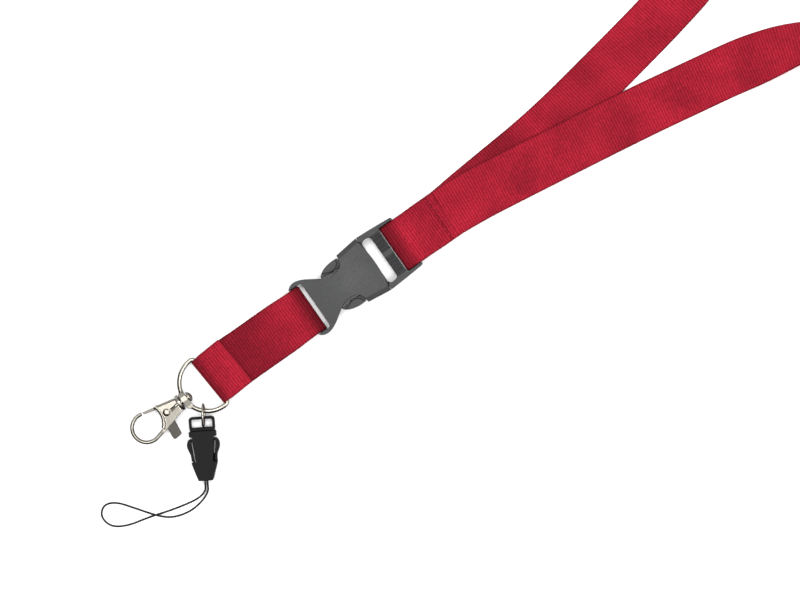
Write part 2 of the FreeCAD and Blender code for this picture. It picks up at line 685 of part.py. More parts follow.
def mini_sleeve_half():
    """The small buckle's lower half: mouth, two plates open at the sides, and a tail.

    A web in the lower plate closes the far end of the slot on the +X side.
    """
    steps = [
        (6.0, -3.15),
        ("arc", (6.4, -3.3), (6.55, -3.7)),
        (6.55, -5.3),
        ("arc", (6.4, -5.7), (6.0, -5.85)),
        (5.0, -6.0),
        (5.15, -7.6),
        (4.2, -17.6),
        ("arc", (4.4, -18.1), (4.9, -18.15)),
        (6.2, -18.15),
        (6.15, -18.9),
        (3.7, -26.5),
        ("arc", (3.4, -27.05), (2.8, -27.2)),
        (0, -27.2),
    ]
    body = mirrored_plate((0, -3.15), steps, 0, MINI_HIGH, across_x=True)
    cavity_steps = [
        (5.5, -2.0),
        (5.5, -5.85),
        (9.0, -5.85),
        (9.0, -18.0),
        (5.45, -18.0),
        (5.2, -19.5),
        (0, -19.5),
    ]
    cavity = mirrored_plate(
        (0, -2.0), cavity_steps, MINI_PLATE, MINI_HIGH - MINI_PLATE, across_x=True
    )
    crimp_room = box(-1.8, 1.8, -24.8, -19.0, MINI_MID - 1.3, MINI_MID + 1.3)
    holes = [cord_hole(side) for side in (-1, 1)]
    web_steps = [(6.2, -14.2), (6.2, -18.4), (3.9, -18.4)]
    web = closed_plate((3.9, -14.2), web_steps, 0, MINI_PLATE)
    return fused([body.cut([cavity, crimp_room] + holes), web])


def cord_hole(side):
    x = side * CORD_SPREAD
    return rod((x, -29, MINI_MID), (x, -24, MINI_MID), CORD_RADIUS + 0.1)


def cord_crimp():
    """The metal sleeve that holds the cord's two ends inside the small buckle's tail."""
    sleeve = rounded_box(-1.4, 1.4, -24.55, -20.0, MINI_MID - 1.1, MINI_MID + 1.1, 0.4)
    return in_mini_frame(sleeve)


def build():
    stations = strap_stations(NECK_ROUTE)
    flat = [i for i, (at, _) in enumerate(stations) if at.z < LAYER_Z[0] + 0.001]
    left = max(i for i in flat if stations[i][0].y > 0)
    right = min(i for i in flat if stations[i][0].y < 0)
    nodes["neck_strap_end"] = neck_fold()
    nodes["neck_strap_lower_leg"] = strap_solid(stations[: left + 1], False)
    nodes["neck_strap_loop"] = strap_solid(stations[left : right + 1], True)
    nodes["neck_strap_upper_leg"] = strap_solid(stations[right:], False)

    nodes["sleeve_half"] = female_half()
    nodes["frame_half"] = male_half()
    nodes["release_arm_left"] = release_arm()
    nodes["release_arm_right"] = mirror_y(release_arm())

    seam_z = LAYER_Z[2] + STRAP_THICK / 2 + 0.2
    neck_thread = stitches(15, 1.8, 1.6, seam_z)
    neck_thread.translate(V(SEAM_X, 0, 0))
    nodes["neck_seam_thread"] = neck_thread

    nodes["short_strap"] = short_strap()
    tab_thread = stitches(15, 1.6, 1.6, 0)
    tab_thread.translate(V(RING_AT[0] - TAB_SEAM_X + 1.2, 0, seam_z + 0.12 - RING_HIGH))
    nodes["short_seam_thread"] = in_ring_frame(tab_thread)

    nodes["d_ring"] = d_ring()
    nodes["swivel_post"] = swivel_post()
    nodes["hook_body"] = hook_body()
    nodes["hook_lever"] = hook_lever()
    nodes["lever_rivet"] = lever_rivet()
    nodes["lever_spring"] = lever_spring()
    nodes["jump_ring"] = jump_ring()

    nodes["mini_frame_half"] = in_mini_frame(mini_frame_half())
    nodes["mini_arm_right"] = in_mini_frame(mini_arm())
    nodes["mini_arm_left"] = in_mini_frame(mirror_x(mini_arm()))
    nodes["mini_sleeve_half"] = in_mini_frame(mini_sleeve_half())
    nodes["cord_crimp"] = cord_crimp()
    nodes["thin_cord"] = tube(CORD_ROUTE, CORD_RADIUS)


build()
os.makedirs("parts", exist_ok=True)
for name, shape in nodes.items():
    print(name, "volume", round(shape.Volume, 1), "valid", shape.isValid())
    shape.exportStep("parts/" + name + ".step")
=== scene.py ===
import json
import math

import bmesh
import bpy
import numpy as np
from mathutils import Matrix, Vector

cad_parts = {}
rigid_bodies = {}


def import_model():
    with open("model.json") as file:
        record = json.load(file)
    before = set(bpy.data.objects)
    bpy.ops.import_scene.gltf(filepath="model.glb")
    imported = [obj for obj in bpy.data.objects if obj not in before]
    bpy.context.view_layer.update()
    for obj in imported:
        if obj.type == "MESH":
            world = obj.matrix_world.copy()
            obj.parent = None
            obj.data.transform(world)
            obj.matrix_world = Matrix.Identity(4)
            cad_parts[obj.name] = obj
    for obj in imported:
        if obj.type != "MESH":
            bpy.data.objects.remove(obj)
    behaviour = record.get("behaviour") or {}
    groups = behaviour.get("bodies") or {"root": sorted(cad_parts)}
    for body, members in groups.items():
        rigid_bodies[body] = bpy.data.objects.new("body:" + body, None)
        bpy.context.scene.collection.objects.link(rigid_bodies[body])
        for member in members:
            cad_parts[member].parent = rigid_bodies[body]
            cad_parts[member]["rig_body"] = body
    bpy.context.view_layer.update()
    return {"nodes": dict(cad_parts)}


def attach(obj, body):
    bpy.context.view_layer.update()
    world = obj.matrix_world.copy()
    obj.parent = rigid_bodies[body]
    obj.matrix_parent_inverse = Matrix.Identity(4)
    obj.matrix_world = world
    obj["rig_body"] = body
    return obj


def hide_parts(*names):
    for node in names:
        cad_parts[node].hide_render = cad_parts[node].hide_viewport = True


# The lanyard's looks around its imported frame: woven webbing, a braided cord, moulded
# buckles and plated metal. Everything is in metres, in the row frame, lying on z = 0.

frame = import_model()

MM = 0.001
FLOOR_Z = 0.0

# Webbing
WEB_THICK = 1.04 * MM
WEB_BAR_HALF = 12.35 * MM  # half its width where it passes a bar
WEB_FREE_HALF = 12.75 * MM  # half its width where it lies free
RIB_PITCH = 1.4 * MM
RIB_DEEP = 0.045 * MM
STEPS_PER_RIB = 6
THREAD_PITCH = 0.42 * MM
STITCHES = 15  # in each seam's row
STITCH_PITCH = 1.62 * MM
SUNK = 0.25 * MM  # how much lower the flap's stitches lie than the neck seam's
LOW_Z = 0.65 * MM  # the middle of webbing that lies flat
LAYER = 1.2 * MM
TOP_Z = LOW_Z + 2 * LAYER  # the middle of the third layer up
EDGE_Z = 12.45 * MM  # the middle of webbing that stands on edge
STANDING_X = 0.205  # past this the neck strap rolls up on edge
BAR_Z = 4.0 * MM
BAR_WRAP = 2.15 * MM  # bar's centre to the middle of the webbing round it
MALE_WRAP = 2.31 * MM  # the same in the frame half, looser so that the fold meets the ribbed bar
MALE_BAR_X = 24.75 * MM
FEMALE_BAR_X = -27.8 * MM
SEAM_END_X = 53.0 * MM
FOLD_FLAT_X = 45.5 * MM  # where the neck strap's fold starts to open towards its bar
FOLD_MIDDLE_X = 33.0 * MM
RING_AT = Vector((-86.4, -0.9, 4.1)) * MM
RING_WRAP = 1.75 * MM
RING_TILT = math.radians(4.2)
FLAP_END = 15.3 * MM  # from the ring's bar to the end of the sewn flap

# How light the webbing is painted: painted shade where it dives under or round something, and painted
# light in places between. Pairs of a place and a factor. NECK_RUN_TONES goes by the distance from the seam,
# the others by X.
NECK_FOLD_TONES = [(0.022, 0.4), (0.0265, 0.55), (0.031, 1.0), (0.036, 1.05), (0.044, 0.98), (0.053, 1.0)]
NECK_RUN_TONES = [
    (0.0, 1.0),
    (0.025, 0.8),
    (0.047, 0.62),
    (0.055, 0.9),
    (0.060, 1.2),
    (0.067, 0.97),
    (0.085, 1.0),
    (0.12, 1.05),
]
FLAP_TONES = [(-0.089, 0.35), (-0.0855, 0.6), (-0.083, 1.0), (-0.076, 1.2), (-0.071, 1.15)]
SHORT_RUN_TONES = [
    (-0.089, 0.35),
    (-0.080, 0.6),
    (-0.0705, 0.55),
    (-0.066, 0.62),
    (-0.055, 0.7),
    (-0.046, 0.8),
    (-0.038, 1.02),
    (-0.032, 0.95),
    (-0.0285, 0.5),
    (-0.0255, 0.4),
]

# The neck strap's centre line, from its lower end in the seam round to its upper end.
NECK_ROUTE = [
    (0.053, 0.0, 0.00185),
    (0.080, 0.0023, 0.00095),
    (0.116, 0.0050, 0.00065),
    (0.158, 0.0123, 0.00065),
    (0.196, 0.0193, 0.00065),
    (0.236, 0.0290, 0.0095),
    (0.280, 0.048, EDGE_Z),
    (0.322, 0.072, EDGE_Z),
    (0.370, 0.082, EDGE_Z),
    (0.414, 0.064, EDGE_Z),
    (0.440, 0.024, EDGE_Z),
    (0.441, -0.025, EDGE_Z),
    (0.414, -0.066, EDGE_Z),
    (0.368, -0.082, EDGE_Z),
    (0.321, -0.070, EDGE_Z),
    (0.283, -0.049, EDGE_Z),
    (0.246, -0.0315, 0.0095),
    (0.212, -0.0229, 0.00065),
    (0.186, -0.0184, 0.00065),
    (0.160, -0.0139, 0.00185),
    (0.124, -0.0086, 0.00195),
    (0.086, -0.0032, 0.0022),
    (0.067, -0.0006, 0.0029),
    (0.053, 0.0, 0.00305),
]

# The small buckle's own frame, and the thin cord's centre line from its tail and back.
MINI_AT = Vector((-102.015, -15.94, 0)) * MM
MINI_TURN = math.radians(-30.7)
CORD_RADIUS = 0.5 * MM
CORD_SPREAD = 0.55
CORD_INSIDE_Y = -24.6
CORD_EXIT_Y = -29.2

# Metal and plastic pieces: the size of the voxels that round their edges
METAL_VOXEL = 0.1 * MM
BUCKLE_VOXEL = 0.2 * MM
MINI_VOXEL = 0.14 * MM
# The painted shadow of the hook's hollow: where it starts and how long it is.
HOLLOW_SHADOW_X = -110.4 * MM  # the hook's hollow starts here, by its rivet, and narrows to the collar
HOLLOW_SHADOW_LONG = 4.9 * MM
# The metal's sides painted with shade and dark reflections face this way.
SHADED_SIDE = np.array([-0.94, -0.34, 0.0])  # the way that the dark sides of the metal face


def mini_point(x, y, z):
    """A point given in millimetres in the small buckle's own frame, in the row frame."""
    across, along = math.cos(MINI_TURN), math.sin(MINI_TURN)
    turned = Vector((x * across - y * along, x * along + y * across, z)) * MM
    return MINI_AT + turned


CORD_ROUTE = [
    mini_point(-CORD_SPREAD, CORD_INSIDE_Y, 2.7),
    mini_point(-CORD_SPREAD, CORD_EXIT_Y, 2.6),
    (-0.1192, -0.0433, 0.0013),
    (-0.1239, -0.0444, 0.0006),
    (-0.1302, -0.0434, 0.00055),
    (-0.1385, -0.0414, 0.00055),
    (-0.1493, -0.0380, 0.00055),
    (-0.1597, -0.0357, 0.00055),
    (-0.1669, -0.0314, 0.00055),
    (-0.1683, -0.0244, 0.00055),
    (-0.1637, -0.0204, 0.00055),
    (-0.1580, -0.0229, 0.00055),
    (-0.1530, -0.0294, 0.00065),
    (-0.1489, -0.0349, 0.00175),
    (-0.1436, -0.0417, 0.00175),
    (-0.1384, -0.0455, 0.00065),
    (-0.1303, -0.0474, 0.00055),
    (-0.1226, -0.0463, 0.0007),
    (-0.1179, -0.0440, 0.0015),
    mini_point(CORD_SPREAD, CORD_EXIT_Y, 2.6),
    mini_point(CORD_SPREAD, CORD_INSIDE_Y, 2.7),
]


# --- camera, light and floor -------------------------------------------------------------

VIEW_CENTRE = Vector((11.1, -21.6, 0)) * MM
VIEW_ROLL = math.radians(35)
VIEW_WIDTH = 388.4 * MM
VIEW_HEIGHT = 1.15
SOFT_SIZE = 0.6
FLOOR_HALF = 2.5


def make_camera():
    """Straight above, turned so that the lanyard runs up to the right."""
    data = bpy.data.cameras.new("camera")
    data.lens = data.sensor_width * VIEW_HEIGHT / VIEW_WIDTH
    camera = bpy.data.objects.new("camera", data)
    camera.location = VIEW_CENTRE + Vector((0, 0, VIEW_HEIGHT))
    camera.rotation_euler = (0, 0, -VIEW_ROLL)
    bpy.context.scene.collection.objects.link(camera)
    bpy.context.scene.camera = camera


def area_light(name, at, target, size, power):
    data = bpy.data.lights.new(name, "AREA")
    data.shape = "DISK"
    data.size = size
    data.energy = power
    lamp = bpy.data.objects.new(name, data)
    lamp.location = at
    lamp.rotation_euler = (Vector(target) - Vector(at)).to_track_quat("-Z", "Y").to_euler()
    bpy.context.scene.collection.objects.link(lamp)


def make_studio():
    world = bpy.data.worlds.new("studio")
    world.use_nodes = True
    world.node_tree.nodes["Background"].inputs["Color"].default_value = (1, 1, 1, 1)
    world.node_tree.nodes["Background"].inputs["Strength"].default_value = 0.8
    bpy.context.scene.world = world
    bpy.context.scene.view_settings.view_transform = "Standard"
    for name, at, power in (
        ("key", (0.70, 0.12, 0.98), 4.0),
        ("far_side", (-0.72, -0.1, 0.98), 3.0),
        ("low_top", (0.2, -0.5, 1.45), 11.0),
        ("high_top", (-0.02, 0.5, 1.45), 11.0),
    ):
        area_light(name, at, (0, 0, 0), SOFT_SIZE, power)
    area_light("glint", (-0.27, 0.02, 1.5), (-0.11, 0, 0), 0.26, 0.9)

    mesh = bpy.data.meshes.new("floor")
    corners = [(-1, -1), (1, -1), (1, 1), (-1, 1)]
    mesh.from_pydata([(x * FLOOR_HALF, y * FLOOR_HALF, FLOOR_Z) for x, y in corners], [], [(0, 1, 2, 3)])
    floor = bpy.data.objects.new("floor", mesh)
    bpy.context.scene.collection.objects.link(floor)
    mesh.materials.append(floor_material())


# --- materials -----------------------------------------------------------------------------


class Nodes:
    """A short way to write a material's node tree."""

    def __init__(self, name):
        self.material = bpy.data.materials.new(name)
        self.material.use_nodes = True
        self.tree = self.material.node_tree
        self.shader = self.tree.nodes["Principled BSDF"]

    def set(self, **values):
        for key, value in values.items():
            self.shader.inputs[key.replace("_", " ")].default_value = value

    def add(self, kind, **settings):
        node = self.tree.nodes.new(kind)
        for key, value in settings.items():
            setattr(node, key, value)
        return node

    def link(self, source, target):
        self.tree.links.new(source, target)

    def math(self, operation, first, second=None, third=None):
        node = self.add("ShaderNodeMath", operation=operation)
        for socket, value in zip(node.inputs, (first, second, third)):
            if value is None:
                continue
            if isinstance(value, (int, float)):
                socket.default_value = value
            else:
                self.link(value, socket)
        return node.outputs[0]

    def noise(self, scale, detail, roughness=0.5):
        node = self.add("ShaderNodeTexNoise")
        node.inputs["Scale"].default_value = scale
        node.inputs["Detail"].default_value = detail
        node.inputs["Roughness"].default_value = roughness
        place = self.add("ShaderNodeTexCoord").outputs["Object"]
        self.link(place, node.inputs["Vector"])
        return node.outputs["Fac"]

    def ramp(self, value, stops):
        node = self.add("ShaderNodeValToRGB")
        ramp = node.color_ramp
        while len(ramp.elements) < len(stops):
            ramp.elements.new(0.5)
        for element, (place, colour) in zip(ramp.elements, stops):
            element.position = place
            element.color = (*colour, 1)
        self.link(value, node.inputs["Fac"])
        return node.outputs["Color"]

    def mix(self, share, first, second):
        node = self.add("ShaderNodeMix", data_type="RGBA")
        for socket, value in ((node.inputs[0], share), (node.inputs[6], first), (node.inputs[7], second)):
            if isinstance(value, tuple):
                socket.default_value = (*value, 1)
            else:
                self.link(value, socket)
        return node.outputs[2]

    def scaled(self, colour, factor):
        node = self.add("ShaderNodeVectorMath", operation="SCALE")
        self.link(colour, node.inputs[0])
        self.link(factor, node.inputs["Scale"])
        return node.outputs[0]

    def tone(self):
        """The painted light and shade stored in the mesh: how light or dark the surface is there."""
        return self.add("ShaderNodeAttribute", attribute_name="tone").outputs["Fac"]

    def spread(self, value, low, high):
        """The value, from 0 to 1, carried to the span from low to high."""
        node = self.add("ShaderNodeMapRange")
        node.inputs["To Min"].default_value = low
        node.inputs["To Max"].default_value = high
        self.link(value, node.inputs["Value"])
        return node.outputs["Result"]

    def bump(self, height, strength, distance):
        node = self.add("ShaderNodeBump")
        node.inputs["Strength"].default_value = strength
        node.inputs["Distance"].default_value = distance
        self.link(height, node.inputs["Height"])
        return node.outputs["Normal"]

    def finish(self, colour, roughness, normal):
        for value, name in ((colour, "Base Color"), (roughness, "Roughness"), (normal, "Normal")):
            self.link(value, self.shader.inputs[name])
        return self.material


def floor_material():
    n = Nodes("floor")
    n.set(Base_Color=(0.92, 0.92, 0.92, 1), Roughness=0.9)
    return n.material


def webbing_material(name, ridge, groove):
    """Ribbed polyester webbing: weft ribs across it, fine warp threads along it, their grooves painted
    darker as shade, edges a little darker, all times the mesh's painted light and shade.
    """
    n = Nodes(name)
    attribute = n.add("ShaderNodeAttribute", attribute_name="weave")
    split = n.add("ShaderNodeSeparateXYZ")
    n.link(attribute.outputs["Vector"], split.inputs[0])
    along, across, edge = split.outputs
    rib_phase = n.math("MULTIPLY", along, 2 * math.pi / RIB_PITCH)
    rib = n.math("MULTIPLY_ADD", n.math("COSINE", rib_phase), 0.5, 0.5)
    row = n.math("FLOOR", n.math("DIVIDE", along, RIB_PITCH))
    odd = n.math("MULTIPLY", n.math("MODULO", row, 2.0), math.pi)
    thread_phase = n.math("ADD", n.math("MULTIPLY", across, 2 * math.pi / THREAD_PITCH), odd)
    thread = n.math("MULTIPLY_ADD", n.math("COSINE", thread_phase), 0.5, 0.5)
    patches = n.noise(52, 3.0)
    speckle = n.noise(900, 3.0, roughness=0.65)
    fuzz = n.noise(2600, 2.0)

    # The grooves between ribs and between threads painted darker than their ridges, as shade.
    weave = n.math("MULTIPLY_ADD", thread, 0.22, n.math("MULTIPLY", rib, 0.78))
    colour = n.mix(n.spread(weave, 0.0, 1.0), groove, ridge)
    soft_light = n.spread(patches, 0.45, 1.45)
    grainy = n.math("MULTIPLY", soft_light, n.spread(speckle, 0.35, 1.6))
    fibres = n.math("MULTIPLY", grainy, n.spread(fuzz, 0.7, 1.3))
    # The edges a little darker.
    edge_darkening = n.math("SUBTRACT", 1.0, n.math("MULTIPLY", n.math("GREATER_THAN", edge, 0.945), 0.35))
    # Times the painted light and shade stored in the mesh.
    shade = n.math("MULTIPLY", n.math("MULTIPLY", fibres, edge_darkening), n.tone())
    height = n.math("MULTIPLY_ADD", thread, 0.6, n.math("MULTIPLY_ADD", fuzz, 0.5, rib))
    normal = n.bump(height, 0.6, 0.09 * MM)
    n.set(Sheen_Weight=0.12, Sheen_Roughness=0.5, Sheen_Tint=(1.0, 0.15, 0.2, 1), Specular_IOR_Level=0.06)
    return n.finish(n.scaled(colour, shade), n.spread(fuzz, 0.75, 0.95), normal)


def thread_material():
    n = Nodes("strap_thread")
    ply = n.noise(5200, 1.0)
    colour = n.ramp(ply, [(0.3, (0.035, 0.001, 0.003)), (0.7, (0.09, 0.003, 0.008))])
    n.set(Specular_IOR_Level=0.1)
    return n.finish(colour, n.spread(ply, 0.55, 0.8), n.bump(ply, 0.5, 0.05 * MM))


def plastic_material(name, colour, grain, gloss, shine):
    """Moulded plastic with a fine spark-eroded grain, a little uneven in colour and gloss, times the mesh's
    painted light and shade.
    """
    n = Nodes(name)
    pale = tuple(c * 1.35 for c in colour)
    deep = tuple(c * 0.7 for c in colour)
    cloud = n.noise(60, 4.0)
    speck = n.noise(grain, 3.0, roughness=0.62)
    tone = n.mix(n.spread(cloud, 0.1, 0.9), deep, pale)
    # The grain times the painted light and shade stored in the mesh.
    grain_and_painted_shade = n.math("MULTIPLY", n.spread(speck, -0.1, 2.1), n.tone())
    scuffs = n.noise(420, 5.0, roughness=0.7)
    rough = n.math("MULTIPLY_ADD", scuffs, 0.18, n.spread(speck, gloss - 0.08, gloss + 0.08))
    normal = n.bump(speck, 0.4, 0.05 * MM)
    n.set(Specular_IOR_Level=shine)
    return n.finish(n.scaled(tone, grain_and_painted_shade), rough, normal)


def plated_material(name, colour, rough, wear=0.5):
    """Plated metal: polished, with faint casting waves, rubbed spots and the mesh's painted light and
    shade.
    """
    n = Nodes(name)
    wave = n.noise(240, 2.0)
    rub = n.noise(1500, 4.0, roughness=0.6)
    dull = tuple(c * 0.72 for c in colour)
    plated = n.mix(n.spread(rub, 0.0, wear), colour, dull)
    tone = n.tone()
    gloss = n.math("MULTIPLY_ADD", rub, 0.16, n.spread(wave, rough - 0.06, rough + 0.06))
    gloss = n.math("ADD", gloss, n.spread(tone, 0.22, 0.0))
    height = n.math("MULTIPLY_ADD", rub, 0.15, wave)
    n.set(Metallic=1.0)
    return n.finish(n.scaled(plated, tone), gloss, n.bump(height, 0.12, 0.12 * MM))


def cord_material():
    n = Nodes("cord_black")
    fibre = n.noise(5200, 2.0)
    colour = n.ramp(fibre, [(0.35, (0.003, 0.003, 0.0035)), (0.75, (0.016, 0.016, 0.018))])
    n.set(Specular_IOR_Level=0.15)
    return n.finish(colour, n.spread(fibre, 0.6, 0.85), n.bump(fibre, 0.4, 0.04 * MM))


# --- webbing ---------------------------------------------------------------------------------


def route_line(name, points, resolution=24):
    """The points of the smooth line that the route's NURBS spline makes."""
    data = bpy.data.curves.new(name, "CURVE")
    data.dimensions = "3D"
    data.resolution_u = resolution
    spline = data.splines.new("NURBS")
    spline.points.add(len(points) - 1)
    for point, place in zip(spline.points, points):
        point.co = (*place, 1)
    spline.order_u = 3
    spline.use_endpoint_u = True
    holder = bpy.data.objects.new(name, data)
    bpy.context.scene.collection.objects.link(holder)
    bpy.context.view_layer.update()
    line = bpy.data.meshes.new_from_object(holder.evaluated_get(bpy.context.evaluated_depsgraph_get()))
    places = np.array([v.co for v in line.vertices], float)
    bpy.data.objects.remove(holder)
    bpy.data.meshes.remove(line)
    return places


def evenly(points, step):
    """The same line with points a step apart, and how far along it each is."""
    points = np.asarray(points, float)
    gone = np.r_[0, np.cumsum(np.linalg.norm(np.diff(points, axis=0), axis=1))]
    count = max(2, int(round(gone[-1] / step)) + 1)
    at = np.linspace(0, gone[-1], count)
    return np.column_stack([np.interp(at, gone, points[:, k]) for k in range(3)]), at


def smoothed(values, rounds):
    values = values.copy()
    for _ in range(rounds):
        values[1:-1] = (values[:-2] + 2 * values[1:-1] + values[2:]) / 4
    return values


def unit(vectors):
    return vectors / np.linalg.norm(vectors, axis=-1, keepdims=True)


def section_outline():
    """The webbing's section, once round it: shares of its half width and half thickness."""
    top = [(x, 1.0) for x in (-0.955, -0.82, -0.5, -0.17, 0.17, 0.5, 0.82, 0.955)]
    bottom = [(-x, -z) for x, z in top]
    right = [(0.99, 0.62), (1.0, 0.0), (0.99, -0.62)]
    left = [(-x, -z) for x, z in right]
    return np.array(top + right + bottom + left)


# The painted light and shade, one factor for each vertex.
def store_painted_light_and_shade(mesh, values):
    store = mesh.attributes.new("tone", "FLOAT", "POINT")
    store.data.foreach_set("value", np.ascontiguousarray(values, np.float32))


def webbing(name, centres, across, half_widths, tones, ends=(True, True)):
    """A ribbed strip of webbing along centres. across holds its unit vectors from edge to edge."""
    centres = np.asarray(centres)
    gone = np.r_[0, np.cumsum(np.linalg.norm(np.diff(centres, axis=0), axis=1))]
    along = unit(np.gradient(centres, axis=0))
    across = unit(across - along * np.sum(across * along, axis=1, keepdims=True))
    face = np.cross(along, across)
    outline = section_outline()
    rib = np.cos(2 * math.pi * gone / RIB_PITCH)
    half_thick = WEB_THICK / 2 + RIB_DEEP * rib
    halves = np.asarray(half_widths) + 0.035 * MM * rib
    rows = len(centres)
    around = len(outline)
    places = (
        centres[:, None, :]
        + across[:, None, :] * (halves[:, None] * outline[None, :, 0])[:, :, None]
        + face[:, None, :] * (half_thick[:, None] * outline[None, :, 1])[:, :, None]
    )
    vertices = places.reshape(-1, 3)
    first = np.arange(rows - 1)[:, None] * around
    k = np.arange(around)[None, :]
    following = (k + 1) % around
    quads = np.stack([first + k, first + following, first + around + following, first + around + k], axis=2)
    faces = [tuple(q) for q in quads.reshape(-1, 4)]
    if ends[0]:
        faces.append(tuple(range(around - 1, -1, -1)))
    if ends[1]:
        faces.append(tuple(range((rows - 1) * around, rows * around)))
    mesh = bpy.data.meshes.new(name)
    mesh.from_pydata(vertices.tolist(), [], faces)
    weave = np.zeros((rows, around, 3))
    weave[:, :, 0] = gone[:, None]
    weave[:, :, 1] = np.asarray(half_widths)[:, None] * outline[None, :, 0]
    weave[:, :, 2] = abs(outline[None, :, 0])
    store = mesh.attributes.new("weave", "FLOAT_VECTOR", "POINT")
    store.data.foreach_set("vector", weave.reshape(-1).astype(np.float32))
    store_painted_light_and_shade(mesh, np.repeat(tones, around))
    mesh.polygons.foreach_set("use_smooth", [True] * len(mesh.polygons))
    bm = bmesh.new()
    bm.from_mesh(mesh)
    bmesh.ops.recalc_face_normals(bm, faces=bm.faces)
    bm.to_mesh(mesh)
    bm.free()
    piece = bpy.data.objects.new(name, mesh)
    bpy.context.scene.collection.objects.link(piece)
    return piece


def ease(x, low, high):
    """From 0 at low to 1 at high, smoothly."""
    t = np.clip((np.asarray(x, float) - low) / (high - low), 0, 1)
    return t * t * (3 - 2 * t)


def neck_loop(material):
    """The neck strap from the seam, round its whole loop, and back: a flat free cord."""
    line = route_line("neck_route", NECK_ROUTE)
    centres, gone = evenly(line, RIB_PITCH / STEPS_PER_RIB)
    length = gone[-1]
    height = (centres[:, 2] - LOW_Z) / (EDGE_Z - LOW_Z)
    standing = ease(centres[:, 0], STANDING_X, STANDING_X + 0.02)
    roll = np.arcsin(np.clip(height, 0, 1)) * standing
    roll = smoothed(roll, 200)
    rests = np.sin(roll) * WEB_FREE_HALF + np.cos(roll) * WEB_THICK / 2 + 0.06 * MM
    centres[:, 2] = np.where(roll > 0.01, np.maximum(centres[:, 2], rests), centres[:, 2])

    along = unit(np.gradient(centres, axis=0))
    level = unit(np.cross([0, 0, 1.0], along * [1, 1, 0]))
    near_end = 1 - ease(np.minimum(gone, length - gone), 2 * MM, 16 * MM)
    square = np.zeros_like(level)
    square[:, 1] = np.where(gone < length / 2, 1, -1)
    level = unit(level * (1 - near_end)[:, None] + square * near_end[:, None])
    across = level * np.cos(roll)[:, None] + np.array([0, 0, 1.0]) * np.sin(roll)[:, None]
    halves = WEB_FREE_HALF - 0.2 * MM * near_end
    tones = np.interp(gone, *zip(*NECK_RUN_TONES))
    strap = webbing("neck_strap", centres, across, halves, tones, ends=(False, False))
    strap.data.materials.append(material)
    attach(strap, "neck_strap")
    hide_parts("neck_strap_lower_leg", "neck_strap_loop", "neck_strap_upper_leg")
    return length


def bar_turn(x, z, radius, first, last, count=14):
    """Points round a bar across Y, between two angles in the XZ plane."""
    angles = np.radians(np.linspace(first, last, count))
    return [(x + radius * math.cos(a), 0.0, z + radius * math.sin(a)) for a in angles]


def neck_end(material):
    """The neck strap's end: from the seam over the frame half's end bar and back under."""
    upper = [(SEAM_END_X, 0, TOP_Z), (FOLD_FLAT_X, 0, TOP_Z), (FOLD_MIDDLE_X, 0, 5.2 * MM)]
    turn = bar_turn(MALE_BAR_X, BAR_Z, MALE_WRAP, 90, 270)
    lower = [(FOLD_MIDDLE_X, 0, 1.2 * MM), (FOLD_FLAT_X, 0, LOW_Z), (SEAM_END_X, 0, LOW_Z)]
    centres, _ = evenly(softened_line(upper + turn + lower), RIB_PITCH / STEPS_PER_RIB)
    across = np.tile([0, 1.0, 0], (len(centres), 1))
    wide = ease(centres[:, 0], 33 * MM, 45 * MM)
    halves = WEB_BAR_HALF + 0.2 * MM * wide
    tones = np.interp(centres[:, 0], *zip(*NECK_FOLD_TONES))
    end = webbing("neck_strap_fold", centres, across, halves, tones, ends=(False, True))
    inner_line = [(46 * MM, 0, LOW_Z + LAYER), (SEAM_END_X, 0, LOW_Z + LAYER)]
    centres, _ = evenly(inner_line, RIB_PITCH / STEPS_PER_RIB)
    across = np.tile([0, 1.0, 0], (len(centres), 1))
    level = np.ones(len(centres))
    inner = webbing("neck_strap_inner_end", centres, across, level * WEB_BAR_HALF, level)
    for piece in (end, inner):
        piece.data.materials.append(material)
        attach(piece, "neck_strap")
    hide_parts("neck_strap_end")


def softened_line(points, step=0.5 * MM, rounds=14):
    """A line through the points with its corners eased, its ends kept."""
    line, _ = evenly(points, step)
    return smoothed(line, rounds)


